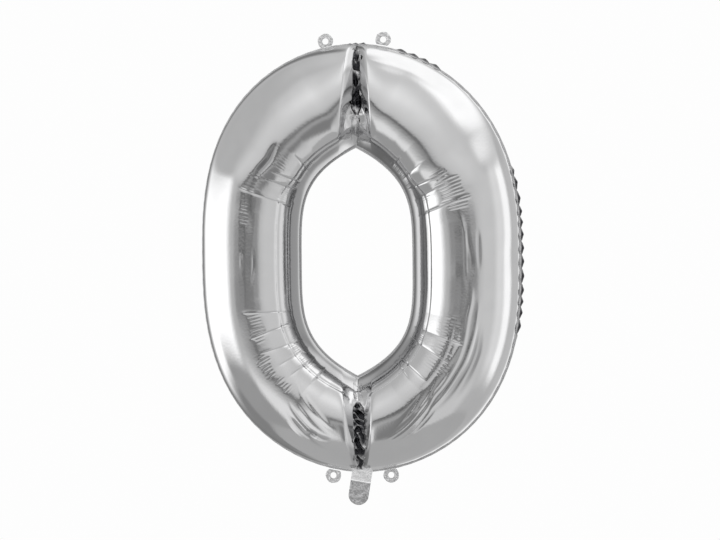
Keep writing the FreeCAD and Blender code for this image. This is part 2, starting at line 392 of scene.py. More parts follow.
@dataclass(frozen=True)
class Crease:
    """The valley where the tube folds: sloping walls down to a narrow crack, full of gathered foil.

    The knot, a share of theta's run from 0 to pi, is the place above the opening where the crease is nipped.
    """

    lip: float = 0.028
    lip_least: float = 0.0015
    lip_power: float = 0.57
    lip_round: float = 0.0022
    slope: float = 1.15
    slope_power: float = 0.8
    crack: float = 0.0060
    crack_least: float = 0.0008
    crack_full_from: float = 0.30
    crack_depth: float = 0.012
    crack_power: float = 1.2
    crack_round: float = 0.8
    crack_past_knot: float = 0.15
    knot: float = 0.67
    # How much the knot takes: off the crack at it and past it, off the slope past it, off the valley at it.
    nip: float = 0.72
    narrowing: float = 0.45
    levelling: float = 0.5
    filling: float = 0.45

    def _knot_bell(self, theta: Array, width: float) -> Array:
        """A bell exp(-d^2) of the distance d from the knot, in widths."""
        return np.exp(-(((theta / PI - self.knot) / width) ** 2))

    def _past_knot(self, theta: Array, reach: float) -> Array:
        """A soft step from 0 at the knot to 1 a reach past it."""
        return soft_step(theta, self.knot * PI, (self.knot + reach) * PI)

    def lip_at(self, theta: Array) -> Array:
        """Half the width between the lips: a power of the sine of half of theta."""
        return self.lip * np.sin(theta / 2) ** self.lip_power + self.lip_least

    def crack_at(self, theta: Array) -> Array:
        """Half the width of the crack: a quarter sine from the outer weld on, nipped at the knot.

        Args:
            theta: angles across the tube.

        Returns:
            Half widths, one per angle.
        """
        nip = 1 - self.nip * self._knot_bell(theta, 0.04)
        nip = nip * (1 - self.narrowing * self._past_knot(theta, 0.08))
        opened = np.sin(np.minimum(theta / (self.crack_full_from * PI), 1) * PI / 2)
        return self.crack * opened * nip + self.crack_least

    def groove(self, across: Array, theta: Array) -> Array:
        """How deep the valley is: flat walls from rounded lips, (u + sqrt(u^2 + r^2)) / 2, and the crack.

        Args:
            across: distances from the crease's plane.
            theta: angles across the tube.

        Returns:
            Depths under the domed foil.
        """
        past = self.lip_at(theta) - across
        slope = self.slope * np.sin(theta) ** self.slope_power
        slope = slope * (1 - self.levelling * self._past_knot(theta, 0.1))
        wall = slope * (past + np.sqrt(past**2 + self.lip_round**2)) / 2
        wall = wall - slope * self.lip_round**2 / 4 / (np.abs(past) + self.lip_round)
        wall = wall * (1 - self.filling * self._knot_bell(theta, 0.06) * (1 - soft_step(across, 0, 0.02)))
        opened = np.clip(1 - across / self.crack_at(theta), 0, 1)
        shut = 1 - soft_step(theta, (self.knot - 0.04) * PI, (self.knot + 0.04) * PI)
        left = self.crack_past_knot + (1 - self.crack_past_knot) * shut
        return wall + self.crack_depth * np.sin(theta) ** self.crack_power * left * opened**self.crack_round


@dataclass(frozen=True)
class CornerFolds:
    """Radial creases across the inner half of the tube, where it turns a corner of the opening.

    Distances are measured from the nearer crease, top or bottom. Each crease starts at a theta between
    start_near, next to that crease, and start_far, in shares of pi, and fades out by the opening.
    """

    first: float
    pitch: float
    count: int
    depth: float = 0.0009
    width: float = 0.0017
    arch: float = 0.0004
    start_near: float = 0.62
    start_far: float = 0.46
    arch_rise: tuple[float, float] = (0.50, 0.66)
    arch_fall: tuple[float, float] = (0.72, 0.90)
    crease_run: float = 0.05
    crease_fall: tuple[float, float] = (0.74, 0.86)

    def relief(self, length: Array, theta: Array, crumple: Crumple) -> Array:
        """Height of the creases: sharp dips exp(-|d|/w) with low arches between them.

        Args:
            length: lengths along the tube, as a column.
            theta: angles across it, as a row.
            crumple: gives the seed of the creases' places and strengths.

        Returns:
            Heights over the smooth foil.
        """
        rng = np.random.default_rng(crumple.seed)
        places = self.first + self.pitch * (np.arange(self.count) + rng.uniform(-0.28, 0.28, self.count))
        ends = np.concatenate([[places[0] - self.pitch], places, [places[-1] + self.pitch]])
        index = np.interp(length, ends, np.arange(self.count + 2))
        inner = between(theta, self.arch_rise, self.arch_fall)
        height = self.arch * inner * arches(index) * band(length, ends[0], ends[-1], 0.004)
        starts = np.linspace(self.start_near, self.start_far, self.count)
        starts = starts + rng.uniform(-0.03, 0.03, self.count)
        for spot, start in zip(places, starts):
            middle = spot + rng.uniform(-0.05, 0.05) * (theta / PI - 0.65)
            fade = between(theta, (start, start + self.crease_run), self.crease_fall)
            dip = np.exp(-np.abs(length - middle) / self.width)
            height = height - self.depth * rng.uniform(0.8, 1.4) * fade * dip
        return height


@dataclass(frozen=True)
class Ribs:
    """Fine gathers across the ridge, on a stretch of the tube; centre and half_span are shares of pi."""

    low: float
    high: float
    centre: float = 0.50
    half_span: float = 0.055
    pitch: float = 0.0062
    height: float = 0.00045

    def relief(self, length: Array, theta: Array, crumple: Crumple) -> Array:
        """Height of the ribs, -|sin|, each with its own strength and its own ends.

        Args:
            length: lengths along the tube, as a column.
            theta: angles across it, as a row.
            crumple: the noise behind the uneven strengths and ends.

        Returns:
            Heights over the smooth foil.
        """
        rank = length / self.pitch
        strength = 0.6 + 0.6 * crumple.along(rank, 1.0)
        reach = self.half_span * (1 + 0.5 * crumple.along(rank + 50, 1.5)) * PI
        middle = (self.centre + 0.02 * crumple.along(rank, 7)) * PI
        across = 1 - soft_step(np.abs(theta - middle) / reach, 0.6, 1)
        along = band(length, self.low, self.high, 0.01)
        return -self.height * strength * across * np.abs(np.sin(PI * rank)) * along


@dataclass(frozen=True)
class Streaks:
    """Long folds that run along the tube, side by side; start, end and pitch are shares of pi."""

    low: float
    high: float
    start: float
    end: float
    pitch: float
    count: int
    height: float = 0.0012
    width: float = 0.0032
    wander: float = 0.010

    def relief(self, length: Array, theta: Array, radius: float, crumple: Crumple) -> Array:
        """Height of the folds, bell-shaped across, each with its own ends.

        A fold's theta runs straight from start to end along the stretch, plus its place and a wander.

        Args:
            length: lengths along the tube, as a column.
            theta: angles across it, as a row.
            radius: the tube's, which turns angles into widths.
            crumple: the noise and the seed of the folds' places, ends and strengths.

        Returns:
            Heights over the smooth foil.
        """
        rng = np.random.default_rng(crumple.seed + 7)
        share = (length - self.low) / (self.high - self.low)
        height = np.zeros(np.broadcast(length, theta).shape)
        for line in range(self.count):
            offset = (line - (self.count - 1) / 2) * self.pitch + rng.uniform(-0.25, 0.25) * self.pitch
            wander = self.wander * crumple.along(length + line, 0.05)
            middle = (self.start + (self.end - self.start) * share + offset + wander) * PI
            begin, finish = rng.uniform(0, 0.35), rng.uniform(0.6, 1)
            along = soft_step(share, begin, begin + 0.2) * (1 - soft_step(share, finish - 0.25, finish))
            bell = np.exp(-(((theta - middle) * radius / self.width) ** 2))
            height += self.height * rng.choice([-0.8, 1.0]) * rng.uniform(0.6, 1.2) * along * bell
        return height


@dataclass(frozen=True)
class Pinch:
    """A tight wavy valley along the tube, where the ribs of a corner meet; it fades out along its length."""

    low: float
    high: float
    start: float
    end: float
    depth: float = 0.0024
    width: float = 0.0052
    wander: float = 0.006

    def relief(self, length: Array, theta: Array, radius: float, crumple: Crumple) -> Array:
        """Height of the valley, a bell across it; theta runs straight from start to end along the stretch.

        Args:
            length: lengths along the tube, as a column.
            theta: angles across it, as a row.
            radius: the tube's, which turns angles into widths.
            crumple: the noise behind the wander.

        Returns:
            Heights over the smooth foil.
        """
        share = (length - self.low) / (self.high - self.low)
        wander = self.wander * crumple.along(length, 0.025)
        middle = (self.start + (self.end - self.start) * share + wander) * PI
        fading = 1 - 0.7 * soft_step(share, 0.3, 0.45) - 0.3 * soft_step(share, 0.7, 1)
        strength = soft_step(share, 0, 0.2) * fading
        return -self.depth * strength * np.exp(-(((theta - middle) * radius / self.width) ** 2))


@dataclass(frozen=True)
class Dressing:
    """All the folds of one half of a face, and the theta, a share of pi, where its band of painted shade
    starts.
    """

    top_corner: CornerFolds
    bottom_corner: CornerFolds
    ribs: tuple[Ribs, ...]
    streaks: tuple[Streaks, ...]
    pinches: tuple[Pinch, ...] = ()
    painted_shade_from: float = 0.722


DRESSINGS = {
    Side.RIGHT: Dressing(
        top_corner=CornerFolds(first=0.160, pitch=0.034, count=5),
        bottom_corner=CornerFolds(first=0.133, pitch=0.039, count=4),
        ribs=(
            Ribs(0.228, 0.298, centre=0.54, half_span=0.07, height=0.0008),
            Ribs(0.500, 0.600, centre=0.58, half_span=0.07, height=0.0002),
            Ribs(0.145, 0.270, centre=0.77, half_span=0.06, pitch=0.0047),
            Ribs(0.530, 0.650, centre=0.77, half_span=0.05, pitch=0.0047),
        ),
        streaks=(
            Streaks(0.42, 0.71, start=0.455, end=0.45, pitch=0.030, count=7, height=0.0015),
            Streaks(0.29, 0.47, start=0.47, end=0.46, pitch=0.040, count=3, height=0.0009, width=0.0028),
            Streaks(0.60, 0.77, start=0.52, end=0.36, pitch=0.018, count=8, height=0.0007, width=0.0018),
        ),
    ),
    Side.LEFT: Dressing(
        painted_shade_from=0.775,
        top_corner=CornerFolds(first=0.172, pitch=0.036, count=4, start_near=0.60),
        bottom_corner=CornerFolds(first=0.122, pitch=0.032, count=6),
        ribs=(
            Ribs(0.185, 0.205, centre=0.58, half_span=0.06, height=0.0003),
            Ribs(0.232, 0.275, centre=0.52, half_span=0.05, height=0.00020),
            Ribs(0.290, 0.330, centre=0.50, half_span=0.03, height=0.00012),
            Ribs(0.500, 0.545, centre=0.55, half_span=0.04, height=0.0003),
            Ribs(0.575, 0.610, centre=0.52, half_span=0.045, height=0.0005),
            Ribs(0.630, 0.648, centre=0.54, half_span=0.035, height=0.0004),
            Ribs(0.145, 0.270, centre=0.77, half_span=0.06, pitch=0.0047, height=0.0004),
            Ribs(0.530, 0.650, centre=0.77, half_span=0.05, pitch=0.0047),
        ),
        streaks=(
            Streaks(0.625, 0.785, start=0.55, end=0.33, pitch=0.030, count=8, width=0.0030, height=0.0014),
            Streaks(0.330, 0.475, start=0.52, end=0.52, pitch=0.060, count=2, width=0.0019, height=0.0012),
        ),
        pinches=(
            Pinch(0.165, 0.36, start=0.475, end=0.55),
            Pinch(0.715, 0.755, start=0.38, end=0.38, depth=0.002),
        ),
    ),
}


@dataclass
class FoilSkin:
    """One face's foil: the domed film with its creases, ribs, folds and puckered weld.

    The seed chooses the random folds. Theta's places are shares of its run from 0 to pi.
    """

    form: Form
    face: Face
    seed: int
    top_crease: Crease = Crease()
    bottom_crease: Crease = Crease(lip=0.025, lip_power=0.45, lip_round=0.005, crack=0.0080, knot=0.71)
    # The grid: its rows, and its columns' spacing, less where the foil folds and least at the creases.
    rows: int = 128
    spacing: float = 0.0024
    folded_saving: float = 0.0013
    folded: tuple[tuple[float, float], ...] = ((0.15, 0.33), (0.44, 0.68))
    crease_spacing: float = 0.0008
    crease_growth: float = 0.0016
    # How far the ridge leans outwards near the top crease, and how far and how wide the creases bow.
    ridge_lean: float = -0.24
    bow: float = 0.008
    bow_width: float = 0.06
    # Dents, broad and small: their size and height.
    dent_size: float = 0.11
    dent: float = 0.0012
    small_dent_size: float = 0.045
    small_dent: float = 0.00030
    # Puckers at the outer weld and the line round the opening.
    pucker_pitch: float = 0.024
    pucker: float = 0.0011
    line_at: float = 0.725
    line_depth: float = 0.0007
    line_width: float = 0.035
    # Painted shade on the foil: the band by the opening, less of it near a crease, and the top crease's
    # walls.
    rim_width: float = 0.03
    rim_near_crease: float = 0.35
    rim_crease_reach: tuple[float, float] = (0.012, 0.045)
    wall_dark: float = 0.6
    wall_inside: tuple[float, float] = (0.75, 0.95)
    wall_ends: tuple[float, float] = (0.60, 0.68)
    # Painted shade in the folds: the depth of a fold that is painted wholly dark, and the most that a fold
    # takes off.
    dark_fold: float = 0.0013
    dark_most: float = 1.8
    darkest: float = -0.8

    def __post_init__(self) -> None:
        """Measures the tube's middle line and places the grid's rows."""
        self.turn_table = np.linspace(0, PI, 4001)
        ridge = (self.form.outline(self.turn_table) + self.form.opening(self.turn_table)) / 2
        steps = np.linalg.norm(np.diff(ridge, axis=0), axis=1)
        self.length_table = np.concatenate([[0], np.cumsum(steps)])
        self.half_length = float(self.length_table[-1])
        probe = np.linspace(0, PI, 2001)
        weight = 0.55 + band(probe, 0.30 * PI, 0.90 * PI, 0.1 * PI)
        weight = weight + band(probe, 0.71 * PI, 0.76 * PI, 0.03 * PI)
        self.theta = spread(weight * (self.rows - 1) / (weight.mean() * PI), probe)

    def columns(self) -> Array:
        """Lengths of the grid's columns over one half ring.

        Returns:
            Lengths from the top crease to the bottom one, closer together where the foil folds.
        """
        probe = np.linspace(0, self.half_length, 8001)
        end = np.minimum(probe, self.half_length - probe)
        spacing = np.full(len(probe), self.spacing)
        for low, high in self.folded:
            spacing = spacing - self.folded_saving * band(probe, low, high, 0.02)
        spacing = np.minimum(spacing, self.crease_spacing + self.crease_growth * soft_step(end, 0.02, 0.09))
        return spread(1 / spacing, probe)

    def surface(self, length: Array, theta: Array, side: Side) -> tuple[Array, Array]:
        """The smooth foil: half an ellipse across the tube, from one weld to the other.

        Args:
            length: lengths along the middle line, shape (columns,).
            theta: angles across, shape (rows,).
            side: which half of the ring.

        Returns:
            The points, shape (columns, rows, 3), and each point's distance from the crease's plane.
        """
        form = self.form
        turn = np.interp(length, self.length_table, self.turn_table)
        outer, inner = form.outline(turn), form.opening(turn)
        centre, spoke = (outer + inner) / 2, (outer - inner) / 2
        reach = np.linalg.norm(spoke, axis=-1, keepdims=True)
        spoke = spoke * (reach - form.weld) / reach
        cosine, sine = np.cos(theta)[None, :], np.sin(theta)[None, :]
        lean = self.ridge_lean * band(length, 0.07, 0.20, 0.07)
        share = cosine + lean[:, None] * sine**2
        flat = centre[:, None, :] + spoke[:, None, :] * share[..., None]
        height = form.half_depth * sine * np.ones_like(flat[..., 0])
        x, z = form.settle(side.value * flat[..., 0], flat[..., 1], (1 - cosine) / 2)
        x = x + self.bow * sine * np.exp(-((flat[..., 0] / self.bow_width) ** 2))
        return np.stack([x, self.face.value * height, z], axis=-1), flat[..., 0]

    def folds(self, length: Array, theta: Array, side: Side) -> Array:
        """Height of one half's ribs, creases and long folds.

        Args:
            length: lengths along the tube, as a column.
            theta: angles across it, as a row.
            side: which half of the ring.

        Returns:
            Heights over the smooth foil.
        """
        crumple = Crumple(self.seed + (side is Side.LEFT))
        dressing = DRESSINGS[side]
        height = dressing.top_corner.relief(length, theta, crumple)
        below = Crumple(crumple.seed + 20)
        height = height + dressing.bottom_corner.relief(self.half_length - length, theta, below)
        for ribs in dressing.ribs:
            height = height + ribs.relief(length, theta, crumple)
        for long_folds in dressing.streaks + dressing.pinches:
            height = height + long_folds.relief(length, theta, self.form.half_depth, crumple)
        return height

    def swells(self, length: Array, theta: Array, points: Array, across: Array) -> Array:
        """Height of the dents, the puckers at the outer weld, the line round the opening and the creases.

        Args:
            length: lengths along the tube, as a column.
            theta: angles across it, as a row.
            points: the smooth foil's points.
            across: their distances from the crease's plane.

        Returns:
            Heights over the smooth foil.
        """
        crumple = Crumple(self.seed)
        dents = crumple.noise(points, self.dent_size) * self.dent
        dents = dents + crumple.noise(points + 3, self.small_dent_size) * self.small_dent
        pucker = np.abs(np.sin(PI * length / self.pucker_pitch + crumple.along(length, 0.06)))
        edge = band(theta, 0.02 * PI, 0.03 * PI, 0.03 * PI)
        edge = edge * band(length, 0.10, self.half_length - 0.05, 0.05)
        line = self.line_depth * np.exp(-(((theta - self.line_at * PI) / self.line_width) ** 2))
        groove = np.where(
            length < self.half_length / 2,
            self.top_crease.groove(across, theta),
            self.bottom_crease.groove(across, theta),
        )
        marks = self.pucker * pucker * edge + line * soft_step(across, 0.01, 0.03)
        return dents * np.sin(theta) ** 0.5 - marks - groove

    def painted_shade(self, theta: Array, across: Array, folds: Array, side: Side) -> Array:
        """Painted shade on the foil: darker in folds, in the creases and on the band by the opening, where
        shade falls between its own surfaces.

        Args:
            theta: angles across the tube, as a row.
            across: distances from the crease's plane.
            folds: heights of the folds.
            side: which half of the ring.

        Returns:
            1 where no shade is painted, 0 where it is painted darkest and under 0 in deep folds, to spread
            their painted shade.
        """
        # Painted shade: the band by the opening, the crease walls and the fold valleys are darkened in the
        # colour.
        painted_shade_from = DRESSINGS[side].painted_shade_from
        rim = soft_step(theta, painted_shade_from * PI, (painted_shade_from + self.rim_width) * PI)
        away = soft_step(across, *self.rim_crease_reach)
        bright = 1 - rim * (self.rim_near_crease + (1 - self.rim_near_crease) * away)
        inside = 1 - soft_step(across / self.top_crease.lip_at(theta), *self.wall_inside)
        above = 1 - soft_step(theta, self.wall_ends[0] * PI, self.wall_ends[1] * PI)
        bright = bright * (1 - self.wall_dark * inside * above)
        return np.clip(bright - np.clip(-folds / self.dark_fold, 0, self.dark_most), self.darkest, 1)

    def half(self, side: Side) -> tuple[Array, Array]:
        """Works out one half ring.

        Args:
            side: which half of the ring.

        Returns:
            Its points and the painted shade on each, 1 where none is painted.
        """
        length, theta = self.columns(), self.theta
        points, across = self.surface(length, theta, side)
        normals = grid_normals(points)
        normals = normals * np.sign(normals[len(length) // 2, len(theta) // 2, 1] * self.face.value)
        folds = self.folds(length[:, None], theta[None, :], side)
        height = folds + self.swells(length[:, None], theta[None, :], points, across)
        height[:, 0] = height[:, -1] = 0
        return points + normals * height[..., None], self.painted_shade(theta[None, :], across, folds, side)

    def build(self, finish: bpy.types.Material) -> None:
        """Builds the face's two halves, which share their lines in the two creases.

        Args:
            finish: the foil's material.
        """
        halves = {side: self.half(side) for side in Side}
        for line in (0, -1):
            middle = (halves[Side.RIGHT][0][line] + halves[Side.LEFT][0][line]) / 2
            halves[Side.RIGHT][0][line] = halves[Side.LEFT][0][line] = middle
        face = self.face.name.lower()
        for side, (points, bright) in halves.items():
            flip = (self.face is Face.BACK) != (side is Side.LEFT)
            piece = grid_object(f"{face}_foil_{side.name.lower()}", points, flip=flip, shade=bright)
            place(piece, "envelope", (f"{face}_panel",), finish)


@dataclass(frozen=True)
class Gather:
    """The foil gathered at the bottom of a crease, a crumpled strip from the outer weld to the opening."""

    skin: FoilSkin
    top: bool
    step: float = 0.0008
    strip_length: float = 0.27
    overlap: float = 1.25
    belly: float = 0.004
    # Facets, coarse and fine: their size and height.
    facet: float = 0.0085
    facet_height: float = 0.0034
    small_facet: float = 0.0035
    small_facet_height: float = 0.0008
    # Metres of foil to a radian of theta, which give the facets their proportions.
    stretch: float = 0.036
    # Its stretch of theta, in shares of pi.
    span: tuple[float, float] = (0.03, 0.985)
    # Painted shade and light in its colour: its base level, the facet height that is painted wholly bright
    # as a glint, the painted shade in its belly and the painted light past the knot.
    bright: float = 0.20
    bright_height: float = 0.006
    belly_dark: float = 0.25
    past_knot_bright: float = 0.8

    def line(self, theta: Array) -> tuple[Array, Array]:
        """The face's line in the crease.

        Args:
            theta: angles across the tube.

        Returns:
            Its points and their outward normals, shape (rows, 3) each.
        """
        skin = self.skin
        length = np.array([0.0]) if self.top else np.array([skin.half_length])
        right, left = (skin.surface(length, theta, side)[0][0] for side in Side)
        line = (right + left) / 2
        normal = np.cross(np.gradient(line, axis=0), [1.0, 0.0, 0.0])
        normal /= np.linalg.norm(normal, axis=-1, keepdims=True)
        return line, normal * np.sign(normal[len(theta) // 2, 1] * skin.face.value)

    def build(self, finish: bpy.types.Material) -> None:
        """Builds the strip: the face's line in the crease, sunk to the walls' feet and crumpled in facets.

        Args:
            finish: the gathered foil's material.
        """
        skin = self.skin
        crease = skin.top_crease if self.top else skin.bottom_crease
        theta = np.linspace(self.span[0] * PI, self.span[1] * PI, int(self.strip_length / self.step))
        line, normal = self.line(theta)
        half = crease.crack_at(theta) * self.overlap
        share = np.linspace(-1, 1, int(2 * crease.crack / self.step))[:, None]
        foot = crease.groove(crease.crack_at(theta), theta)[None, :]
        flat = np.stack(np.broadcast_arrays(share * half[None, :], (theta * self.stretch)[None, :]), axis=-1)
        crumple = Crumple(skin.seed + 40 + self.top)
        rough = crumple.facets(flat, self.facet, 4) * self.facet_height
        rough = rough + crumple.facets(flat + 1, self.small_facet, 4) * self.small_facet_height
        still = np.minimum(np.sin(theta) * 2, 1)[None, :]
        depth = foot + (self.belly * (1 - share**2) - rough) * still
        points = line[None, :, :] + (share * half[None, :])[..., None] * np.array([1.0, 0.0, 0.0])
        points = points - depth[..., None] * normal[None, :, :]
        # Painted shade in the crack's belly, painted glints on the high facets and painted light past the
        # knot.
        beyond = soft_step(theta, (crease.knot - 0.03) * PI, (crease.knot + 0.05) * PI)[None, :]
        shade = self.bright + rough / self.bright_height - self.belly_dark * (1 - share**2)
        shade = np.clip(shade + self.past_knot_bright * beyond, 0, 1)
        face = skin.face.name.lower()
        name = f"{face}_gather_{'top' if self.top else 'bottom'}"
        piece = grid_object(name, points, flip=(skin.face is Face.BACK) == self.top, shade=shade)
        place(piece, "envelope", (f"{face}_panel",), finish)


@dataclass(frozen=True)
class WeldFin:
    """The welded rim that stands out past the domes, puckered where it is gathered.

    Its section is a thin strip; along the numeral its edge runs in scallops and tips to and fro.
    """

    form: Form
    crumple: Crumple
    step: float = 0.0016
    thickness: float = 0.0004
    scallop: float = 0.0032
    scallop_full: float = 1.5
    scallop_power: float = 0.7
    scallop_set_in: float = 0.25
    pitch: float = 0.0235
    pitch_wander: float = 0.6
    wander_size: float = 0.05
    tip: float = 0.9
    tip_shortening: float = 0.6
    # Painted shade on its gathered parts past the start of the edge: everywhere, and more in the scallops.
    dark: float = 0.45
    scallop_dark: float = 0.55
    dark_from: float = 0.3
    # Stretches that are gathered: the right side's heights, and the top's places clear of its tabs.
    right_side: tuple[float, float] = (-0.115, 0.165)
    top_middle: tuple[float, float] = (-0.006, 0.016)
    top_right: tuple[float, float] = (0.080, 0.150)

    def _ring(self, outer: bool) -> tuple[Array, Array]:
        """A closed line round the numeral, in even steps.

        Args:
            outer: the outline or the opening.

        Returns:
            Its places (x, z), shape (n, 2), and its directions away from the foil.
        """
        turn = np.linspace(0, PI, 4001)
        half = self.form.outline(turn) if outer else self.form.opening(turn)
        inner = np.full(len(turn), 0.0 if outer else 1.0)
        right = np.stack(self.form.settle(half[:, 0], half[:, 1], inner), axis=-1)
        left = np.stack(self.form.settle(-half[:, 0], half[:, 1], inner), axis=-1)[::-1]
        line = np.concatenate([right, left[1:]])
        length = np.concatenate([[0], np.cumsum(np.linalg.norm(np.diff(line, axis=0), axis=1))])
        even = np.linspace(0, length[-1], int(length[-1] / self.step), endpoint=False)
        line = np.stack([np.interp(even, length, line[:, axis]) for axis in (0, 1)], axis=-1)
        ahead = np.roll(line, -3, axis=0) - np.roll(line, 3, axis=0)
        ahead /= np.linalg.norm(ahead, axis=-1, keepdims=True)
        away = np.stack([-ahead[:, 1], ahead[:, 0]], axis=-1)
        return line, away if outer else -away

    def _gathered(self, line: Array) -> Array:
        """How much the outer weld is gathered: most on the right side, some at the top.

        Args:
            line: places round the outline, shape (n, 2).

        Returns:
            0 to 1, one per place.
        """
        x, z = line[:, 0], line[:, 1]
        right = (x > 0) * band(z, *self.right_side, 0.02)
        top = (band(x, *self.top_middle, 0.006) + band(x, *self.top_right, 0.008)) * (z > 0) * 0.8
        return np.maximum(np.maximum(right, top), 0.06)

    def build(self, outer: bool, finish: bpy.types.Material) -> None:
        """Builds the fin.

        Args:
            outer: round the outline or round the opening.
            finish: the weld's material.
        """
        line, away = self._ring(outer)
        along = np.arange(len(line)) * self.step
        gathered = self._gathered(line) if outer else np.zeros(len(line))
        phase = PI * along / self.pitch + self.pitch_wander * self.crumple.along(along, self.wander_size)
        scallop = np.abs(np.sin(phase))
        edge = self.scallop_full * scallop**self.scallop_power - self.scallop_set_in
        width = self.form.weld + self.scallop * gathered * edge
        tilt = self.tip * gathered * np.sin(2 * phase)
        share, flank = flat_section(6, self.thickness)
        out = share * (width * np.cos(tilt * self.tip_shortening))[:, None] - self.form.weld
        lift = share**2 * (width * np.sin(tilt))[:, None] + flank
        x = line[:, 0, None] + away[:, 0, None] * out
        z = line[:, 1, None] + away[:, 1, None] * out
        points = np.stack([x, lift, z], axis=-1)
        # Painted shade on the gathered stretches, darkest where the scallops stand out furthest.
        dark = gathered * (self.dark + self.scallop_dark * scallop)
        shade = np.clip(1 - dark[:, None] * (share > self.dark_from), 0, 1)
        name = "weld_outer" if outer else "weld_opening"
        piece = grid_object(name, points, closed=(True, True), flip=not outer, shade=shade)
        place(piece, "envelope", ("front_panel", "back_panel"), finish)


# Tabs, neck and tail.


@dataclass(frozen=True)
class Hang:
    """Where a piece of film hangs: its bending line's middle, its mount, and the mount's bore radius."""

    hinge: Array
    mount: Array
    bore: float

    @classmethod
    def from_frame(cls, frame: dict, joint: str, mount: str) -> "Hang":
        """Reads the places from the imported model.

        Args:
            frame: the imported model.
            joint: the joint that carries the piece.
            mount: the mount on it.

        Returns:
            The place.
        """
        found = next(item for item in frame["record"]["mounts"] if item["name"] == mount)
        hinge = next(item["pos_m"] for item in frame["joints"] if item["name"] == joint)
        return cls(np.array(hinge), np.array(found["pos_m"]), found["dims"].get("r_mm", 0.0) / 1000)

    @property
    def reach(self) -> float:
        """The distance from the bending line to the mount."""
        return float(np.linalg.norm(self.mount - self.hinge))

    def lay(self, origin: Array, right: Array, up: Array, lift: Array) -> Array:
        """Lays out points in the piece's own plane.

        Args:
            origin: the point that the distances start from.
            right: distances along the bending line.
            up: distances away from it.
            lift: distances along Y.

        Returns:
            The points, shape (..., 3).
        """
        away = (self.mount - self.hinge) / self.reach
        beside = np.cross([0.0, 1.0, 0.0], away)
        right, up, lift = np.broadcast_arrays(right, up, lift)
        points = origin + right[..., None] * beside + up[..., None] * away
        return points + lift[..., None] * np.array([0.0, 1.0, 0.0])


@dataclass(frozen=True)
class EyeletTab:
    """A crinkled ring of welded film round a punched hole, cut straight at its root.

    Its name is that of its node and of its body.
    """

    name: str
    hang: Hang
    crumple: Crumple
    radius: float = 0.0139
    waviness: float = 0.02
    waves: int = 5
    thickness: float = 0.0007
    squareness: int = 8
    root_gap: float = 0.0006
    # Crinkles, coarse and fine: their size and height.
    crinkle: float = 0.008
    crinkle_height: float = 0.0013
    small_crinkle: float = 0.003
    small_crinkle_height: float = 0.0004
    # Where the crinkles set in: distances from the root and shares of the ring's width.
    root_still: tuple[float, float] = (0.001, 0.007)
    hole_still: tuple[float, float] = (0.0, 0.35)

    def build(self, finish: bpy.types.Material) -> None:
        """Builds the ring: a flat rounded section carried round the hole, its outer side cut at the root.

        Args:
            finish: the tab's material.
        """
        angle = np.linspace(0, 2 * PI, 120, endpoint=False)[:, None]
        share, flank = flat_section(12, self.thickness)
        down = np.maximum(-np.cos(angle), 1e-6)
        rim = self.radius * (1 + self.waviness * np.sin(self.waves * angle))
        outer = np.minimum(rim, (self.hang.reach - self.root_gap) / down)
        radius = self.hang.bore + (outer - self.hang.bore) * share
        right, up = radius * np.sin(angle), radius * np.cos(angle)
        flat = np.stack([right, up], axis=-1)
        free = soft_step(up + self.hang.reach, *self.root_still) * soft_step(share, *self.hole_still)
        wave = self.crumple.facets(flat, self.crinkle, 3) * self.crinkle_height
        wave = wave + self.crumple.facets(flat + 1, self.small_crinkle, 4) * self.small_crinkle_height
        lift = wave * free + flank * np.sqrt(1 - (2 * share - 1) ** self.squareness)
        points = self.hang.lay(self.hang.mount, right, up, lift)
        piece = grid_object(f"{self.name}_film", points, closed=(True, True))
        place(piece, self.name, (self.name,), finish)


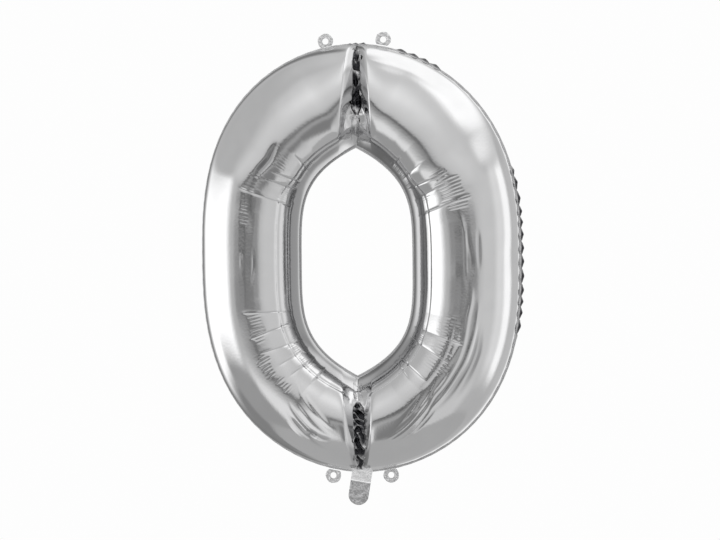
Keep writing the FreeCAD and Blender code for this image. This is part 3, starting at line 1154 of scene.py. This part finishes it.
@dataclass(frozen=True)
class Neck:
    """The flat neck: a sleeve that comes out of the body, and the loose crinkled tail below its fold line.

    Both thin out to nothing a gap away from the fold line, so the tail folds either way past the sleeve.
    """

    hang: Hang
    crumple: Crumple
    half_width: float = 0.0183
    fold_gap: float = 0.0005
    section_power: float = 0.8
    # Crinkles, coarse and fine: their size, the fine ones' share, and where they set in below the fold line.
    crinkle: float = 0.010
    small_crinkle: float = 0.0035
    small_share: float = 0.3
    fold_still: tuple[float, float] = (0.0005, 0.006)
    # The sleeve: how high it starts, its half thickness there and at the fold, and its crinkles.
    rise: float = 0.030
    mouth: float = 0.0045
    mouth_closing: float = 0.0035
    sleeve_taper: float = 0.0020
    sleeve_wave: float = 0.0006
    # The tail: its half thickness, the tapers at its two ends, and its crinkles.
    full: float = 0.0016
    tail_taper: float = 0.0015
    end_taper: float = 0.0010
    end_rows: float = 0.004
    tail_wave: float = 0.0010

    def _tube(self, name: str, drop: Array, width: Array, full: Array, wave: float) -> bpy.types.Object:
        """A flattened tube along the neck.

        Args:
            name: the piece's name.
            drop: distances below the fold line, one per row.
            width: half the flat width, one per row.
            full: half the thickness in the middle, one per row.
            wave: the height of the crinkles.

        Returns:
            The piece: its section is (w cos a, t |sin a|^p), bent by the same crinkles front and back.
        """
        angle = np.linspace(0, 2 * PI, 72, endpoint=False)[None, :]
        drop, width, full = drop[:, None], width[:, None], full[:, None]
        right = width * np.cos(angle)
        flat = np.stack(np.broadcast_arrays(right, drop), axis=-1)
        bend = self.crumple.facets(flat, self.crinkle, 4)
        bend = bend + self.small_share * self.crumple.facets(flat + 1, self.small_crinkle, 4)
        lift = full * np.sign(np.sin(angle)) * np.abs(np.sin(angle)) ** self.section_power
        lift = lift + wave * bend * soft_step(np.abs(drop), *self.fold_still)
        return grid_object(name, self.hang.lay(self.hang.hinge, right, drop, lift), closed=(False, True))

    def build_sleeve(self, finish: bpy.types.Material) -> None:
        """Builds the sleeve on the body.

        Args:
            finish: the sleeve's material.
        """
        rows = np.linspace(-self.rise, -self.fold_gap, 90)
        full = self.mouth - self.mouth_closing * soft_step(rows, -self.rise, -0.008)
        full = full * np.minimum(1, (rows[-1] - rows) / self.sleeve_taper)
        width = np.full(len(rows), self.half_width)
        sleeve = self._tube("neck_sleeve", rows, width, full, self.sleeve_wave)
        place(sleeve, "envelope", ("front_panel", "back_panel"), finish)

    def build_tail(self, finish: bpy.types.Material) -> None:
        """Builds the tail on its own body, with a round end.

        Args:
            finish: the tail's material.
        """
        reach = self.hang.reach
        ending = reach - self.end_rows * np.cos(np.linspace(0, PI / 2, 30))
        straight = np.linspace(self.fold_gap, reach - self.end_rows - self.fold_gap, 90)
        rows = np.concatenate([straight, ending])
        below = np.clip(rows - (reach - self.half_width), 0, None) / self.half_width
        width = self.half_width * np.sqrt(np.clip(1 - below**2, 0.0004, 1))
        full = self.full * np.sin(np.clip(rows / reach, 0.05, 0.93) * PI) ** 0.5
        full = full * np.minimum(1, (rows - rows[0]) / self.tail_taper)
        full = full * np.minimum(1, (rows[-1] - rows) / self.end_taper) ** 0.5
        tail = self._tube("neck_tail_film", rows, width, full, self.tail_wave)
        place(tail, "neck_tail", ("neck_tail_front", "neck_tail_back"), finish)


# Shader maths and finishes.


class Signal:
    """A shader socket in an expression: the operators add Math nodes."""

    def __init__(self, tree: bpy.types.NodeTree, socket: bpy.types.NodeSocket) -> None:
        """Args: tree: the node tree. socket: the output that the signal comes from."""
        self.tree = tree
        self.socket = socket

    def maths(self, operation: str, other: "Signal | float | None" = None) -> "Signal":
        """Adds a Math node.

        Args:
            operation: what it works out.
            other: its second input, if it takes one, as a signal or a number.

        Returns:
            The result.
        """
        node = self.tree.nodes.new("ShaderNodeMath")
        node.operation = operation
        self.tree.links.new(self.socket, node.inputs[0])
        if isinstance(other, Signal):
            self.tree.links.new(other.socket, node.inputs[1])
        elif other is not None:
            node.inputs[1].default_value = other
        return Signal(self.tree, node.outputs[0])

    def __add__(self, other: "Signal | float") -> "Signal":
        """The sum."""
        return self.maths("ADD", other)

    __radd__ = __add__

    def __mul__(self, other: "Signal | float") -> "Signal":
        """The product."""
        return self.maths("MULTIPLY", other)

    __rmul__ = __mul__

    def __neg__(self) -> "Signal":
        """The signal turned over."""
        return self.maths("MULTIPLY", -1.0)

    def __sub__(self, other: "Signal | float") -> "Signal":
        """The difference."""
        return self.maths("SUBTRACT", other)

    def __rsub__(self, other: float) -> "Signal":
        """A number less this signal."""
        return -self + other


class Nodes:
    """A node tree with one way of making nodes."""

    def __init__(self, owner: bpy.types.Material | bpy.types.World) -> None:
        """Args: owner: the material or world whose tree is emptied and filled."""
        owner.use_nodes = True
        self.tree = owner.node_tree
        self.tree.nodes.clear()

    def make(self, kind: str, settings: dict | None = None, sockets: dict | None = None) -> bpy.types.Node:
        """Makes a node.

        Args:
            kind: the node's type.
            settings: its own settings, set first.
            sockets: values, signals or output sockets for its inputs, by name or number.

        Returns:
            The node.
        """
        node = self.tree.nodes.new(kind)
        for key, value in (settings or {}).items():
            setattr(node, key, value)
        for key, value in (sockets or {}).items():
            if isinstance(value, Signal):
                self.tree.links.new(value.socket, node.inputs[key])
            elif isinstance(value, bpy.types.NodeSocket):
                self.tree.links.new(value, node.inputs[key])
            else:
                node.inputs[key].default_value = value
        return node

    def signal(self, node: bpy.types.Node, output: str | int = 0) -> Signal:
        """An output as a signal."""
        return Signal(self.tree, node.outputs[output])

    def noise(self, size: float, detail: float) -> Signal:
        """Noise in the object's own metres.

        Args:
            size: about how far across its lumps are.
            detail: how many finer layers it has.

        Returns:
            Values from 0 to 1.
        """
        where = self.make("ShaderNodeTexCoord").outputs["Object"]
        sockets = {"Vector": where, "Scale": 1 / size, "Detail": detail}
        return self.signal(self.make("ShaderNodeTexNoise", {}, sockets))

    def step(self, value: Signal, low: float, high: float) -> Signal:
        """A smooth step.

        Args:
            value: the signal that is stepped.
            low: where the result is 0.
            high: where it is 1; it may be under low.

        Returns:
            The step, from 0 to 1.
        """
        settings = {"interpolation_type": "SMOOTHSTEP"}
        sockets = {"Value": value, "From Min": min(low, high), "From Max": max(low, high)}
        result = self.signal(self.make("ShaderNodeMapRange", settings, sockets))
        return 1.0 - result if low > high else result

    def blend(self, factor: Signal, first: object, second: object) -> bpy.types.NodeSocket:
        """A colour between two others.

        Args:
            factor: 0 for the first colour to 1 for the second.
            first: a colour or a colour socket.
            second: the same.

        Returns:
            The blended colour.
        """
        mix = self.make("ShaderNodeMix", {"data_type": "RGBA"})
        self.tree.links.new(factor.socket, mix.inputs["Factor"])
        for socket, value in ((mix.inputs[6], first), (mix.inputs[7], second)):
            if isinstance(value, bpy.types.NodeSocket):
                self.tree.links.new(value, socket)
            else:
                socket.default_value = value
        return mix.outputs[2]


def grey(value: float, cool: float = 0.005) -> tuple[float, float, float, float]:
    """A barely cool grey as a colour."""
    return value, value, value + cool, 1.0


@dataclass(frozen=True)
class FoilFinish:
    """Metallised film: a mirror softened by fine wrinkles."""

    name: str
    tone: float
    roughness: float
    wrinkle_size: float = 0.004
    wrinkle: float = 0.05
    metallic: float = 1.0
    dark: float | None = None

    def build(self) -> bpy.types.Material:
        """Makes the material; dark, if given, is the tone painted where the attribute "shade" is 0, as
        painted shade.

        Returns:
            The material.
        """
        material = bpy.data.materials.new(self.name)
        nodes = Nodes(material)
        broad = nodes.noise(0.035, 1.0)
        colour = nodes.blend(nodes.step(broad, 0.3, 0.7), grey(self.tone * 0.97), grey(self.tone))
        # The attribute "shade" carries painted shade: it blends the colour towards the dark tone.
        if self.dark is not None:
            shade = nodes.signal(nodes.make("ShaderNodeAttribute", {"attribute_name": "shade"}), "Fac")
            colour = nodes.blend(shade, grey(self.dark), colour)
        height = nodes.noise(self.wrinkle_size, 3.0)
        bump = nodes.make("ShaderNodeBump", {}, {
            "Strength": self.wrinkle,
            "Distance": self.wrinkle_size,
            "Height": height,
        })
        shader = nodes.make("ShaderNodeBsdfPrincipled", {}, {
            "Base Color": colour,
            "Metallic": self.metallic,
            "Roughness": broad * 0.05 + (self.roughness - 0.025),
            "Normal": bump.outputs["Normal"],
        })
        nodes.make("ShaderNodeOutputMaterial", {}, {"Surface": shader.outputs["BSDF"]})
        return material


@dataclass(frozen=True)
class FilmFinish:
    """The valve's clear film."""

    name: str
    alpha: float = 0.45

    def build(self) -> bpy.types.Material:
        """Makes the material: faintly milky, with soft streaks of wear.

        Returns:
            The material.
        """
        material = bpy.data.materials.new(self.name)
        nodes = Nodes(material)
        shader = nodes.make("ShaderNodeBsdfPrincipled", {}, {
            "Base Color": grey(0.88, 0.02),
            "Roughness": nodes.noise(0.004, 2.0) * 0.2 + 0.12,
            "Alpha": self.alpha,
        })
        nodes.make("ShaderNodeOutputMaterial", {}, {"Surface": shader.outputs["BSDF"]})
        return material


# The studio.


@dataclass(frozen=True)
class SoftBox:
    """A patch of the room as the foil sees it, in degrees: bearings right of the front, and heights."""

    west: float
    east: float
    low: float
    high: float
    edge: float
    light: float


# What the foil mirrors, from the back of the list to the front.
BOXES = (
    SoftBox(-200, 200, 36, 95, 8, 0.60),
    SoftBox(-140, -50, 10, 60, 14, 0.48),
    SoftBox(-46, 45, 8, 80, 12, 0.64),
    SoftBox(-30, 24, 28, 75, 12, 0.86),
    SoftBox(50, 150, 34, 62, 9, 1.15),
    SoftBox(70, 200, 45, 78, 9, 1.10),
    SoftBox(30, 112, -28, 28, 10, 0.60),
    SoftBox(66, 110, -30, 28, 8, 0.76),
    SoftBox(88, 108, -30, 24, 5, 1.08),
    SoftBox(116, 150, -30, 20, 6, 0.54),
    SoftBox(14, 60, -56, -28, 8, 0.62),
    SoftBox(-150, -46, -50, -21, 6, 0.24),
    SoftBox(-133, -48, -22, 12, 9, 1.30),
    SoftBox(-98, -42, -52, -15, 7, 0.34),
    SoftBox(-40, -12, -42, -13, 6, 0.80),
    SoftBox(-6, 17, -44, -8, 6, 0.22),
    SoftBox(-33, 24, -5, 3.5, 5, 0.26),
    SoftBox(-10, 12, -1.6, 1.6, 1.8, 0.17),
    SoftBox(-22, -6, 1.4, 3.8, 1.3, 0.06),
    SoftBox(150, 185, -30, 30, 8, 1.0),
    SoftBox(-165, -145, -40, 60, 8, 0.20),
    SoftBox(-200, 200, -95, -46, 1.5, 0.42),
)


@dataclass(frozen=True)
class Studio:
    """A pale floor, a soft white room with large soft boxes, and the camera."""

    form: Form
    boxes: tuple[SoftBox, ...] = BOXES
    room: float = 0.48
    backdrop: float = 0.985
    floor_drop: float = 1.05
    floor_radius: float = 3.0
    floor_glow: float = 0.45
    lens: float = 85.0
    aim_right: float = 0.0027
    aim_down: float = 0.022
    eye_right: float = 0.32
    eye_back: float = 3.04
    roll: float = math.radians(-1.06)

    def build_world(self) -> None:
        """The room: each box is laid over what came before, and the camera sees plain white."""
        world = bpy.data.worlds.new("studio")
        bpy.context.scene.world = world
        nodes = Nodes(world)
        where = nodes.make("ShaderNodeTexCoord").outputs["Generated"]
        way = nodes.make("ShaderNodeSeparateXYZ", {}, {0: where})
        bearing = nodes.signal(way, "X").maths("ARCTAN2", -nodes.signal(way, "Y")) * math.degrees(1)
        height = nodes.signal(way, "Z").maths("ARCSINE") * math.degrees(1)
        light: Signal | float = self.room
        for box in self.boxes:
            mask = nodes.step(bearing, box.west - box.edge, box.west + box.edge)
            mask = mask * nodes.step(bearing, box.east + box.edge, box.east - box.edge)
            mask = mask * nodes.step(height, box.low - box.edge, box.low + box.edge)
            mask = mask * nodes.step(height, box.high + box.edge, box.high - box.edge)
            light = mask * (box.light - light) + light
        seen = nodes.signal(nodes.make("ShaderNodeLightPath"), "Is Camera Ray")
        strength = seen * (self.backdrop - light) + light
        background = nodes.make("ShaderNodeBackground", {}, {"Color": grey(1, 0), "Strength": strength})
        nodes.make("ShaderNodeOutputWorld", {}, {"Surface": background.outputs[0]})

    def build_floor(self) -> None:
        """A pale round floor well below the balloon, which hangs; the foil doesn't mirror it."""
        angle = np.linspace(0, 2 * PI, 96, endpoint=False)[:, None]
        radius = np.linspace(0.01, self.floor_radius, 24)[None, :]
        drop = np.full((96, 24), self.form.centre_z - self.floor_drop)
        points = np.stack([radius * np.sin(angle), radius * np.cos(angle), drop], axis=-1)
        floor = grid_object("floor", points, closed=(True, False), flip=True)
        material = bpy.data.materials.new("floor_paint")
        nodes = Nodes(material)
        shader = nodes.make("ShaderNodeBsdfPrincipled", {}, {
            "Base Color": grey(0.9, 0),
            "Roughness": nodes.noise(0.3, 2.0) * 0.1 + 0.6,
            "Emission Color": grey(1, 0),
            "Emission Strength": self.floor_glow,
        })
        nodes.make("ShaderNodeOutputMaterial", {}, {"Surface": shader.outputs["BSDF"]})
        floor.data.materials.append(material)
        floor.visible_glossy = False

    def build_camera(self) -> None:
        """A long lens a little to the right of the front, near the numeral's middle, rolled a degree."""
        camera = bpy.data.cameras.new("camera")
        camera.lens = self.lens
        eye = bpy.data.objects.new("camera", camera)
        bpy.context.scene.collection.objects.link(eye)
        aim = Vector((self.aim_right, 0, self.form.centre_z - self.aim_down))
        eye.location = aim + Vector((self.eye_right, -self.eye_back, 0))
        turn = (aim - eye.location).to_track_quat("-Z", "Y").to_matrix()
        eye.rotation_euler = (turn @ Matrix.Rotation(self.roll, 3, "Z")).to_euler()
        bpy.context.scene.camera = eye
        bpy.context.scene.view_settings.view_transform = "Standard"


def main() -> None:
    """Builds the balloon and its studio."""
    logging.basicConfig(level=logging.INFO)
    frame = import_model()
    form = Form.from_frame(frame)
    # The foil, gathered foil and weld take painted shade from their "shade" attribute, down to their dark
    # tones.
    foil = FoilFinish("silver_foil", tone=0.88, roughness=0.10, wrinkle=0.02, dark=0.50).build()
    gathered = FoilFinish("gathered_foil", tone=0.88, roughness=0.12, dark=0.04).build()
    weld = FoilFinish(
        "weld_foil", tone=0.86, roughness=0.28, wrinkle_size=0.0012, wrinkle=0.3, dark=0.05
    ).build()
    tab = FoilFinish(
        "tab_film", tone=0.86, roughness=0.16, wrinkle_size=0.002, wrinkle=0.3, metallic=0.85
    ).build()
    sleeve = FoilFinish(
        "sleeve_film", tone=0.93, roughness=0.30, wrinkle_size=0.003, wrinkle=0.2, metallic=0.3
    ).build()
    tail = FoilFinish("tail_film", tone=0.66, roughness=0.20, wrinkle_size=0.002, wrinkle=0.3).build()
    film = FilmFinish("valve_film").build()
    for face, seed in FACE_SEEDS.items():
        skin = FoilSkin(form, face, seed)
        skin.build(foil)
        for top in (True, False):
            Gather(skin, top).build(gathered)
    for outer in (True, False):
        WeldFin(form, Crumple(5)).build(outer, weld)
    for seed, name in enumerate(TABS):
        hang = Hang.from_frame(frame, f"{name}_flex", name.replace("_tab", "_eyelet"))
        EyeletTab(name, hang, Crumple(seed)).build(tab)
    neck = Neck(Hang.from_frame(frame, "neck_fold", "inflation_inlet"), Crumple(71))
    neck.build_sleeve(sleeve)
    neck.build_tail(tail)
    for name in VALVE_SHEETS:
        node = frame["nodes"][name]
        node.data.materials.clear()
        node.data.materials.append(film)
    studio = Studio(form)
    studio.build_world()
    studio.build_floor()
    studio.build_camera()


if __name__ == "__main__":
    main()
